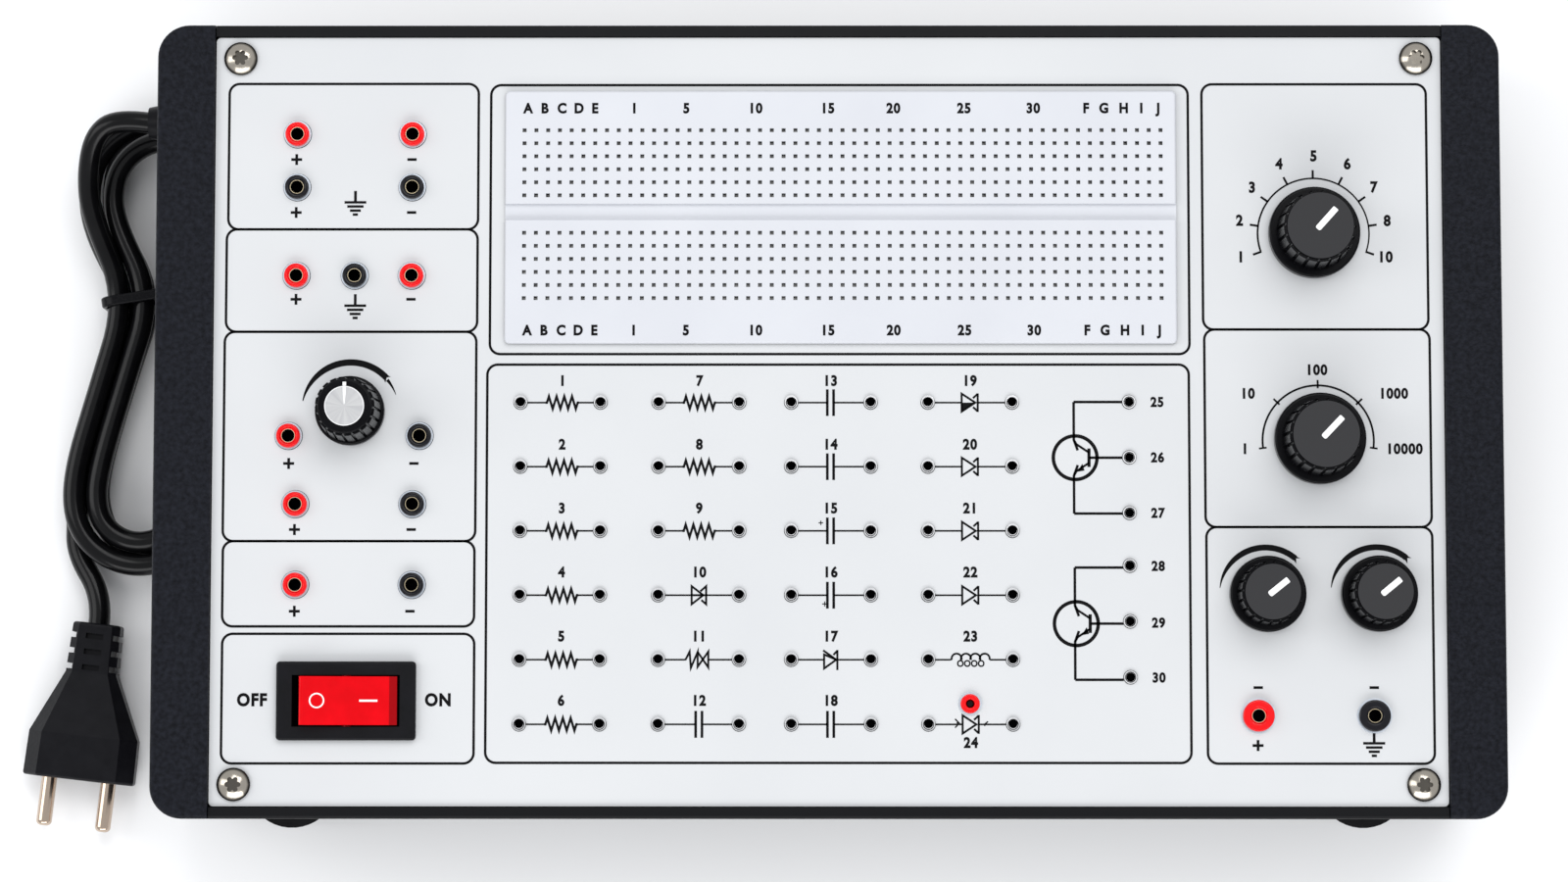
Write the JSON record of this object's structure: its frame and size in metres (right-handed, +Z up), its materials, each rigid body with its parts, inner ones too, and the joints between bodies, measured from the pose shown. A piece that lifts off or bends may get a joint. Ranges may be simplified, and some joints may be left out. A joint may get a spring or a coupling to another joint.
{
  "type": "analog electronics trainer",
  "caption": "Low bench console with a flat panel, plug-in board, component and plug sockets, dials, a rocker power switch and a tied mains lead with a two-pin plug.",
  "frame": {"origin": "on the table, under the middle of the case, mains lead left out", "axes": "+X to the operator's right along the case, +Y to the rear, +Z up"},
  "size_m": [0.4704, 0.2556, 0.0938],
  "materials": {
    "foot_rubber": "matt black rubber",
    "fixing_steel": "zinc plated",
    "panel_screw_nickel": "warm nickel plate",
    "tray_paint": "fine texture black powder coat",
    "cheek_black": "fine pebbled blue-black",
    "rail_black": "satin black",
    "pillar_steel": "plain turned",
    "panel_white": "satin white with printed lines",
    "socket_red": "glossy red",
    "socket_black": "glossy black",
    "contact_brass": "polished brass",
    "ring_nickel": "bright nickel",
    "sleeve_nickel": "bright nickel",
    "light_red": "glossy red",
    "lens_dark": "dark clear red",
    "board_white": "smooth bluish white",
    "clip_metal": "spring metal",
    "backing_foam": "foam tape",
    "knob_black": "satin black with white pointer",
    "cap_silver": "spun",
    "shaft_steel": "turned",
    "control_body": "pressed metal",
    "nut_nickel": "nickel plate",
    "frame_black": "satin black",
    "rocker_red": "glossy red with white marks",
    "circuit_board": "green solder mask",
    "post_nylon": "white nylon",
    "resistor_beige": "beige with colour bands",
    "capacitor_blue": "sleeved can",
    "semiconductor_black": "moulded",
    "choke_green": "dipped",
    "core_steel": "stacked laminations",
    "coil_tape": "taped winding",
    "bracket_steel": "zinc plated",
    "sink_black": "black anodised",
    "lead_black": "soft glossy sheath",
    "tie_black": "nylon",
    "gland_black": "satin",
    "plug_black": "satin moulded",
    "pin_nickel": "warm nickel"
  },
  "bodies": {
    "case": {"rubber_feet": "foot_rubber", "foot_screws": "fixing_steel", "bottom_tray": "tray_paint", "left_cheek": "cheek_black", "right_cheek": "cheek_black", "cheek_screws": "fixing_steel", "front_fascia": "rail_black", "rear_fascia": "rail_black", "panel_pillars": "pillar_steel", "panel_screws": "panel_screw_nickel", "front_panel": "panel_white", "red_socket_bodies": "socket_red", "black_socket_bodies": "socket_black", "socket_contacts": "contact_brass", "socket_nuts": "nut_nickel", "socket_rings": "ring_nickel", "tip_sleeves": "sleeve_nickel", "light_collar": "light_red", "light_lens": "lens_dark", "plug_in_board": "board_white", "board_clips": "clip_metal", "board_backing": "backing_foam", "panel_controls": "control_body", "control_nuts": "nut_nickel", "switch_frame": "frame_black", "switch_blades": "clip_metal", "component_board": "circuit_board", "generator_board": "circuit_board", "power_board": "circuit_board", "board_posts": "post_nylon", "trainer_resistors": "resistor_beige", "trainer_capacitors": "capacitor_blue", "trainer_semiconductors": "semiconductor_black", "trainer_choke": "choke_green", "transformer_core": "core_steel", "transformer_coil": "coil_tape", "transformer_brackets": "bracket_steel", "smoothing_capacitors": "capacitor_blue", "heatsink": "sink_black", "regulators": "semiconductor_black", "cord_gland": "gland_black", "gland_nut": "nut_nickel", "mains_lead_start": "lead_black", "mains_lead_hank": "lead_black", "hank_tie": "tie_black", "mains_lead_end": "lead_black", "plug_body": "plug_black", "plug_pins": "pin_nickel"},
    "supply_dial": {"supply_knob": "knob_black", "supply_cap": "cap_silver", "supply_shaft": "shaft_steel"},
    "selector_dial": {"selector_knob": "knob_black", "selector_shaft": "shaft_steel"},
    "multiplier_dial": {"multiplier_knob": "knob_black", "multiplier_shaft": "shaft_steel"},
    "amplitude_dial": {"amplitude_knob": "knob_black", "amplitude_shaft": "shaft_steel"},
    "frequency_dial": {"frequency_knob": "knob_black", "frequency_shaft": "shaft_steel"},
    "power_rocker": {"rocker": "rocker_red"}
  },
  "joints": [
    {"name": "supply_turn", "type": "hinge", "parent": "case", "child": "supply_dial", "pos_m": [-0.1488, 0.0025, 0.074], "axis": [0, 0, 1], "range_deg": [-135, 135]},
    {"name": "selector_turn", "type": "hinge", "parent": "case", "child": "selector_dial", "pos_m": [0.1515, 0.0582, 0.074], "axis": [0, 0, 1], "range_deg": [-67.3, 151.3]},
    {"name": "multiplier_turn", "type": "hinge", "parent": "case", "child": "multiplier_dial", "pos_m": [0.1527, -0.0062, 0.074], "axis": [0, 0, 1], "range_deg": [-54, 141.2]},
    {"name": "amplitude_turn", "type": "hinge", "parent": "case", "child": "amplitude_dial", "pos_m": [0.1361, -0.0545, 0.074], "axis": [0, 0, 1], "range_deg": [-83.5, 186.5]},
    {"name": "frequency_turn", "type": "hinge", "parent": "case", "child": "frequency_dial", "pos_m": [0.1706, -0.0544, 0.074], "axis": [0, 0, 1], "range_deg": [-84.3, 185.7]},
    {"name": "power_rock", "type": "hinge", "parent": "case", "child": "power_rocker", "pos_m": [-0.1493, -0.0876, 0.073], "axis": [0, 1, 0], "range_deg": [-16, 0]}
  ]
}
